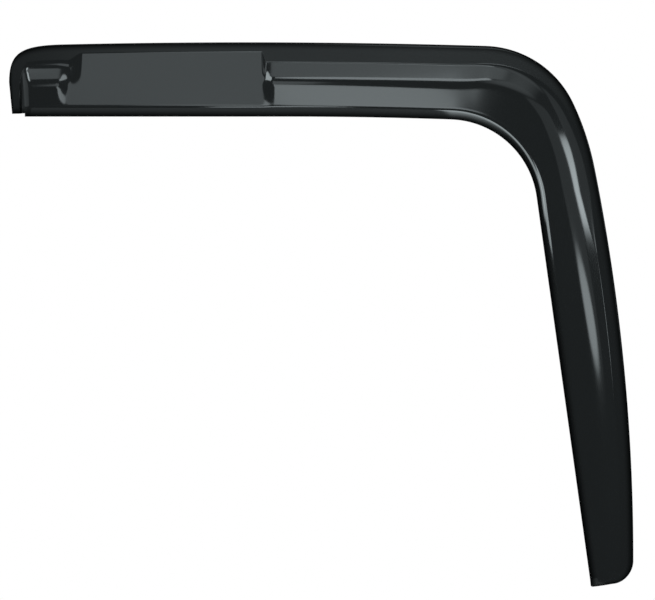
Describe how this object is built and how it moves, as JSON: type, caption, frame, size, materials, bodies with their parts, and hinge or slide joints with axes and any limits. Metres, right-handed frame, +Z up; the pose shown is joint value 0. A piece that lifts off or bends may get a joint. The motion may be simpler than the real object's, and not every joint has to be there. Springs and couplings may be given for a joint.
{
  "type": "window rain deflector",
  "caption": "L-shaped smoked acrylic rain deflector with a flat bonding flange, ridged face, flat inset panel and turned-in lip, fixed round the top and front of a side window.",
  "frame": {"origin": "on the back of the bonding flange, half way along the top arm and on the middle line of its bonding strip, 5 mm below the outer edge", "axes": "+X along the top arm towards the corner, +Z up, +Y into the vehicle, so the outer face looks towards -Y and the flange's back lies on Y = 0"},
  "size_m": [0.6862, 0.0183, 0.5985],
  "materials": {
    "smoked_acrylic": "polished, nearly opaque smoke tint"
  },
  "bodies": {
    "root": {"deflector_shell": "smoked_acrylic"}
  },
  "joints": []
}
